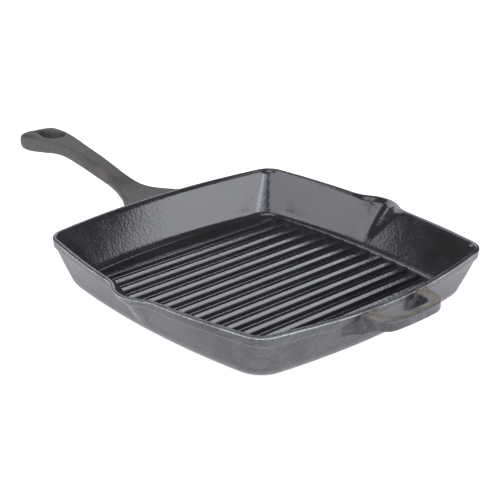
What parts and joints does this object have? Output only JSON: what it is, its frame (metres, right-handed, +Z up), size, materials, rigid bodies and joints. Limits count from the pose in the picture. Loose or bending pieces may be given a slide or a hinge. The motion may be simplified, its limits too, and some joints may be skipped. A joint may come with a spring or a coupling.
{
  "type": "grill pan",
  "caption": "Square cast-iron grill pan with raised parallel ribs, pouring spouts on two sides, a long hanging handle and a short helper handle.",
  "frame": {"origin": "under the middle of the pan, on the flat surface that it stands on", "axes": "+Z up, +X towards the short helper handle with the long handle pointing to -X, +Y towards one of the two spouts and along the ribs"},
  "size_m": [0.5077, 0.3064, 0.0611],
  "materials": {
    "cooking_enamel": "satin black enamel on cast iron",
    "wall_enamel": "matt grey enamel on cast iron",
    "handle_enamel": "matt dark grey enamel on cast iron"
  },
  "bodies": {
    "root": {"pan_floor": "cooking_enamel", "side_wall": "wall_enamel", "rim_bead": "wall_enamel", "rib_01": "cooking_enamel", "rib_02": "cooking_enamel", "rib_03": "cooking_enamel", "rib_04": "cooking_enamel", "rib_05": "cooking_enamel", "rib_06": "cooking_enamel", "rib_07": "cooking_enamel", "rib_08": "cooking_enamel", "rib_09": "cooking_enamel", "rib_10": "cooking_enamel", "rib_11": "cooking_enamel", "rib_12": "cooking_enamel", "rib_13": "cooking_enamel", "long_handle": "handle_enamel", "helper_handle": "handle_enamel"}
  },
  "joints": []
}
